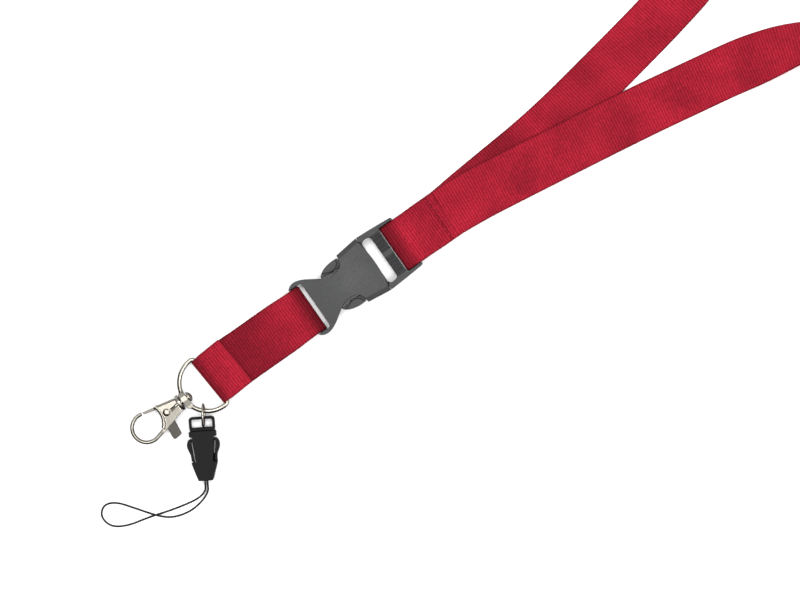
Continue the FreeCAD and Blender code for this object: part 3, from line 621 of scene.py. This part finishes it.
def short_strap(material):
    """The short strap: flap on top, round the ring, under, round the sleeve's bar, back inside."""
    back = Vector((math.cos(RING_TILT), math.sin(RING_TILT), 0))

    def ring_place(away, z):
        return tuple(RING_AT + back * away + Vector((0, 0, z)) - Vector((0, 0, RING_AT.z)))

    flap = [ring_place(FLAP_END, TOP_Z), ring_place(8 * MM, TOP_Z + 0.25 * MM)]
    angles = np.radians(np.linspace(90, 270, 12))
    turn = [ring_place(RING_WRAP * math.cos(a), RING_AT.z + RING_WRAP * math.sin(a)) for a in angles]
    under = [ring_place(8 * MM, LOW_Z + 0.1 * MM), ring_place(FLAP_END + 1 * MM, LOW_Z)]
    lower = [(-66 * MM, 0, LOW_Z), (-44 * MM, 0, 0.9 * MM)]
    bar = bar_turn(FEMALE_BAR_X, BAR_Z, BAR_WRAP, -90, 90)
    upper = [(-44 * MM, 0, 4.6 * MM), (-66 * MM, 0, LOW_Z + LAYER), ring_place(7.2 * MM, LOW_Z + LAYER)]
    line = softened_line(flap + turn + under + lower + bar + upper)
    centres, gone = evenly(line, RIB_PITCH / STEPS_PER_RIB)
    tilt = RING_TILT * (1 - ease(centres[:, 0], -72 * MM, -62 * MM))
    across = np.column_stack([-np.sin(tilt), np.cos(tilt), np.zeros(len(tilt))])
    free = ease(-centres[:, 0], 31 * MM, 45 * MM)
    halves = WEB_BAR_HALF + 0.45 * MM * free
    on_flap = 1 - ease(gone, FLAP_END, FLAP_END + 10 * MM)
    halves = halves + 0.3 * MM * on_flap
    at_ring = np.exp(-(((centres[:, 0] - RING_AT.x) / (2.2 * MM)) ** 2))
    halves = halves - at_ring * 0.35 * MM
    flap_tones = np.interp(centres[:, 0], *zip(*FLAP_TONES))
    run_tones = np.interp(centres[:, 0], *zip(*SHORT_RUN_TONES))
    tones = flap_tones * on_flap + run_tones * (1 - on_flap)
    strap = webbing("short_strap_webbing", centres, across, halves, tones)
    strap.data.materials.append(material)
    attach(strap, "tab")
    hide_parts("short_strap")


def stitch_row(name, centre, turn, count, pitch, half_run, z, body, node, material):
    """A zigzag seam: each stitch arches over the webbing and dives into it at both ends."""
    radius = 0.17 * MM
    sides, steps = 8, 8
    vertices, faces = [], []
    first = -pitch * (count - 1) / 2
    for i in range(count):
        way = 1 if i % 2 else -1
        a = Vector((-half_run, first + pitch * (i - 0.5 * way * 0.9), 0))
        b = Vector((half_run, first + pitch * (i + 0.5 * way * 0.9), 0))
        run = (b - a).normalized()
        side = Vector((-run.y, run.x, 0))
        base = len(vertices)
        for k in range(steps + 1):
            share = k / steps
            lift = math.sin(math.pi * share) * 0.30 * MM - 0.16 * MM
            middle = a.lerp(b, share) + Vector((0, 0, lift))
            thin = 0.75 + 0.25 * math.sin(math.pi * share)
            for j in range(sides):
                angle = 2 * math.pi * j / sides
                ply = 1 + 0.12 * math.cos(3 * angle + 9 * share)
                offset = side * math.cos(angle) + Vector((0, 0, 1)) * math.sin(angle)
                vertices.append(middle + offset * (radius * thin * ply))
        for k in range(steps):
            for j in range(sides):
                low = base + k * sides
                following = (j + 1) % sides
                faces.append((low + j, low + following, low + sides + following, low + sides + j))
        faces.append(tuple(base + j for j in reversed(range(sides))))
        faces.append(tuple(base + steps * sides + j for j in range(sides)))
    cos_t, sin_t = math.cos(turn), math.sin(turn)
    placed = [
        (centre[0] + v.x * cos_t - v.y * sin_t, centre[1] + v.x * sin_t + v.y * cos_t, z + v.z)
        for v in vertices
    ]
    mesh = bpy.data.meshes.new(name)
    mesh.from_pydata(placed, [], faces)
    mesh.polygons.foreach_set("use_smooth", [True] * len(faces))
    piece = bpy.data.objects.new(name, mesh)
    bpy.context.scene.collection.objects.link(piece)
    mesh.materials.append(material)
    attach(piece, body)
    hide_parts(node)


# --- the thin cord -----------------------------------------------------------------------------


def thin_cord(material):
    """The braided cord from the small buckle's tail, round its loop and back in."""
    line = route_line("cord_route", CORD_ROUTE, 16)
    centres, gone = evenly(line, 0.16 * MM)
    along = unit(np.gradient(centres, axis=0))
    side = unit(np.cross([0, 0, 1.0], along))
    top = np.cross(along, side)
    sides = 16
    angle = 2 * math.pi * np.arange(sides) / sides
    plies, lay = 4, 2.6 * MM
    turn = 2 * math.pi * gone[:, None] / lay
    left = np.cos(plies * angle[None, :] + plies * turn / 2)
    right = np.cos(plies * angle[None, :] - plies * turn / 2)
    radius = CORD_RADIUS * (0.93 + 0.05 * np.maximum(left, right))
    places = centres[:, None, :] + radius[:, :, None] * (
        side[:, None, :] * np.cos(angle)[None, :, None] + top[:, None, :] * np.sin(angle)[None, :, None]
    )
    rows = len(centres)
    first = np.arange(rows - 1)[:, None] * sides
    k = np.arange(sides)[None, :]
    following = (k + 1) % sides
    quads = np.stack([first + k, first + following, first + sides + following, first + sides + k], axis=2)
    faces = [tuple(q) for q in quads.reshape(-1, 4)]
    faces.append(tuple(range(sides - 1, -1, -1)))
    faces.append(tuple(range((rows - 1) * sides, rows * sides)))
    mesh = bpy.data.meshes.new("cord_loop")
    mesh.from_pydata(places.reshape(-1, 3).tolist(), [], faces)
    mesh.polygons.foreach_set("use_smooth", [True] * len(faces))
    cord = bpy.data.objects.new("cord_loop", mesh)
    bpy.context.scene.collection.objects.link(cord)
    mesh.materials.append(material)
    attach(cord, "mini_sleeve")
    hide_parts("thin_cord")
    return gone[-1]


# --- moulded and metal pieces --------------------------------------------------------------


def plastic_tones(places, normals):
    """Painted shade: upright walls and rims a little darker than the flat faces."""
    return 0.45 + 0.55 * ease(normals[:, 2], 0.6, 1.0)


def frame_tones(places, normals):
    """As plastic_tones, with a little more painted shade: the frame half and the arms sit below the sleeve.
    """
    return 0.84 * plastic_tones(places, normals)


def sleeve_tones(places, normals):
    """As plastic_tones, with painted light that makes the sleeve's broad middle a little lighter."""
    away = np.hypot(places[:, 0] + 3 * MM, places[:, 1])
    return plastic_tones(places, normals) * (0.88 + 0.3 * np.exp(-((away / (10 * MM)) ** 2)))


def metal_tones(places, normals):
    """Painted shade and painted dark reflections, as outlines: on sides that face the claw's end, and down
    the upright walls.
    """
    shaded_side = normals @ SHADED_SIDE
    facing = ease(shaded_side, 0.0, 0.22)
    upright = 0.88 * ease(1 - abs(normals[:, 2]), 0.27, 0.65)
    return 1 - 0.95 * np.maximum(facing, upright)


def hook_tones(places, normals):
    """As metal_tones, with the painted shadow of a hollow: a dark wedge between the rivet and the collar.
    """
    along = (places[:, 0] - HOLLOW_SHADOW_X) / HOLLOW_SHADOW_LONG
    middle = -1.9 * MM + 0.3 * MM * along
    half = 0.2 * MM + 1.0 * MM * (1 - along)
    inside = 1 - ease(abs(places[:, 1] - middle) / half, 0.7, 1.1)
    inside *= ease(along, 0.0, 0.12) * (1 - ease(along, 0.85, 1.0)) * (normals[:, 2] > 0.5)
    return metal_tones(places, normals) * (0.93 - 0.68 * inside)


def ring_tones(places, normals):
    """As metal_tones, with painted shade on the boss on both sides of its flat middle."""
    off_middle = abs(places[:, 1] + 0.88 * MM)
    shoulder = ease(off_middle, 1.0 * MM, 1.25 * MM) * (1 - ease(off_middle, 3.9 * MM, 4.3 * MM))
    shoulder *= 1 - ease(places[:, 0], -100.2 * MM, -99.6 * MM)
    return metal_tones(places, normals) * (1 - 0.5 * shoulder)


def lever_tones(places, normals):
    """As metal_tones, with painted shade: darkest on the thumb tab, and darker on the gate than on the
    body.
    """
    tab = 1 - ease(places[:, 1], -7.5 * MM, -5.5 * MM)
    gate = ease(places[:, 1], 1.0 * MM, 2.5 * MM)
    return metal_tones(places, normals) * (1 - 0.76 * tab - 0.42 * gate)


def rounded_piece(node, voxel, rounds, material, tones):
    """The CAD node's shape with its edges rounded as moulding and plating leave them."""
    mesh = frame["nodes"][node].data.copy()
    bm = bmesh.new()
    bm.from_mesh(mesh)
    bmesh.ops.remove_doubles(bm, verts=bm.verts, dist=1e-7)
    bm.to_mesh(mesh)
    bm.free()
    piece = bpy.data.objects.new(node + "_shape", mesh)
    bpy.context.scene.collection.objects.link(piece)
    skin = piece.modifiers.new("skin", "REMESH")
    skin.mode = "VOXEL"
    skin.voxel_size = voxel
    ease_edges = piece.modifiers.new("ease", "SMOOTH")
    ease_edges.factor = 0.5
    ease_edges.iterations = rounds
    bpy.context.view_layer.update()
    final = bpy.data.meshes.new_from_object(piece.evaluated_get(bpy.context.evaluated_depsgraph_get()))
    piece.modifiers.clear()
    piece.data = final
    final.materials.clear()
    final.materials.append(material)
    final.polygons.foreach_set("use_smooth", [True] * len(final.polygons))
    count = len(final.vertices)
    places, normals = np.empty(count * 3, np.float32), np.empty(count * 3, np.float32)
    final.vertices.foreach_get("co", places)
    final.vertex_normals.foreach_get("vector", normals)
    # Painted light and shade for each vertex, from its place and facing.
    store_painted_light_and_shade(final, tones(places.reshape(-1, 3), normals.reshape(-1, 3)))
    body = frame["nodes"][node]["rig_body"]
    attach(piece, body)
    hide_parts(node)


# --- making it ------------------------------------------------------------------------------

make_camera()
make_studio()

red = webbing_material("strap_webbing", (0.285, 0.0115, 0.026), (0.155, 0.0035, 0.0095))
neck_length = neck_loop(red)
cord_length = thin_cord(cord_material())
print("neck strap", round(float(neck_length), 4), "cord", round(float(cord_length), 4))
neck_end(red)
short_strap(red)

thread = thread_material()
seam_z = TOP_Z + WEB_THICK / 2
stitch_row(
    "neck_seam_stitches", (49.2 * MM, 0), 0, STITCHES, STITCH_PITCH, 0.95 * MM, seam_z,
    "neck_strap", "neck_seam_thread", thread,
)
flap_seam = RING_AT + Vector((math.cos(RING_TILT), math.sin(RING_TILT), 0)) * (FLAP_END - 1.4 * MM)
stitch_row(
    "flap_seam_stitches", (flap_seam.x, flap_seam.y), RING_TILT, STITCHES, STITCH_PITCH, 0.8 * MM,
    seam_z - SUNK, "tab", "short_seam_thread", thread,
)

grey = plastic_material("buckle_plastic", (0.040, 0.0403, 0.0413), 2600, 0.5, 0.2)
black = plastic_material("mini_plastic", (0.0035, 0.0035, 0.004), 3200, 0.45, 0.1)
nickel = plated_material("nickel", (0.34, 0.32, 0.275), 0.16)
# The lever's plating painted darker than the body's nickel, as shade.
lever_metal = plated_material("lever_metal", (0.27, 0.255, 0.225), 0.3)
wire = plated_material("ring_wire", (0.36, 0.34, 0.30), 0.16)
spring = plated_material("spring_steel", (0.5, 0.5, 0.5), 0.3)
crimp = plated_material("crimp_metal", (0.6, 0.6, 0.6), 0.35)

rounded_piece("sleeve_half", BUCKLE_VOXEL, 3, grey, sleeve_tones)
for node in ("frame_half", "release_arm_left", "release_arm_right"):
    rounded_piece(node, BUCKLE_VOXEL, 3, grey, frame_tones)
for node in ("mini_frame_half", "mini_sleeve_half", "mini_arm_left", "mini_arm_right"):
    rounded_piece(node, MINI_VOXEL, 2, black, plastic_tones)
rounded_piece("hook_lever", METAL_VOXEL, 3, lever_metal, lever_tones)
rounded_piece("hook_body", METAL_VOXEL, 3, nickel, hook_tones)
rounded_piece("d_ring", METAL_VOXEL, 3, nickel, ring_tones)
for node, slot, material in (
    ("swivel_post", "nickel", nickel),
    ("lever_rivet", "nickel", nickel),
    ("jump_ring", "ring_wire", wire),
    ("lever_spring", "spring_steel", spring),
    ("cord_crimp", "crimp_metal", crimp),
):
    rounded_piece(node, METAL_VOXEL, 3, material, metal_tones)
